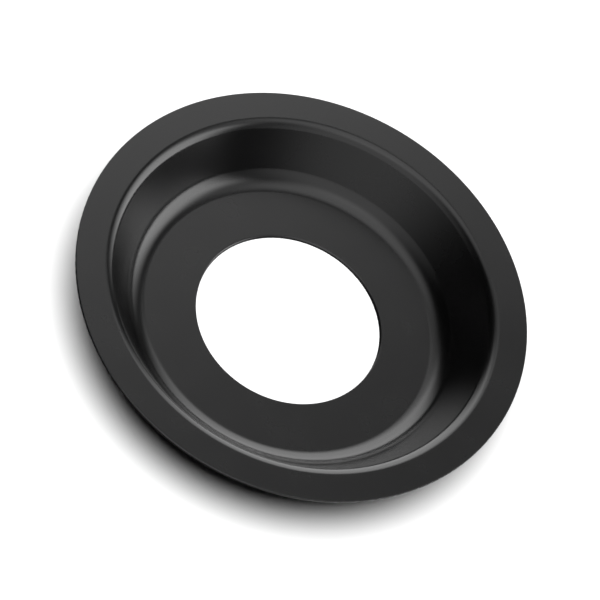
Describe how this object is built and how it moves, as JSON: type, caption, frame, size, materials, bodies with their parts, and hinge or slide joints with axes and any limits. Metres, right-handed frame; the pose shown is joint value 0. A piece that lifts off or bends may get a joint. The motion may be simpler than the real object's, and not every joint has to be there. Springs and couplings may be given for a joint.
{
  "type": "sink adapter ring for a waste disposer",
  "caption": "Dished steel ring with a flat rim, a conical wall and a flat floor with one round hole, that hangs a waste disposer in a large sink outlet.",
  "frame": {"origin": "centre of the disposer hole, on the underside of the flat floor, which is the face the ring stands on", "axes": "+Z along the axis of the ring, from the floor up to the rim; X and Y are alike, because the ring is round"},
  "size_m": [0.217, 0.217, 0.0272],
  "materials": {
    "black_coated_steel": "satin black powder coat, semi-gloss, with a faint fine texture",
    "black_rubber": "matt moulded rubber"
  },
  "bodies": {
    "root": {"sink_ring": "black_coated_steel", "rim_gasket": "black_rubber"}
  },
  "joints": []
}
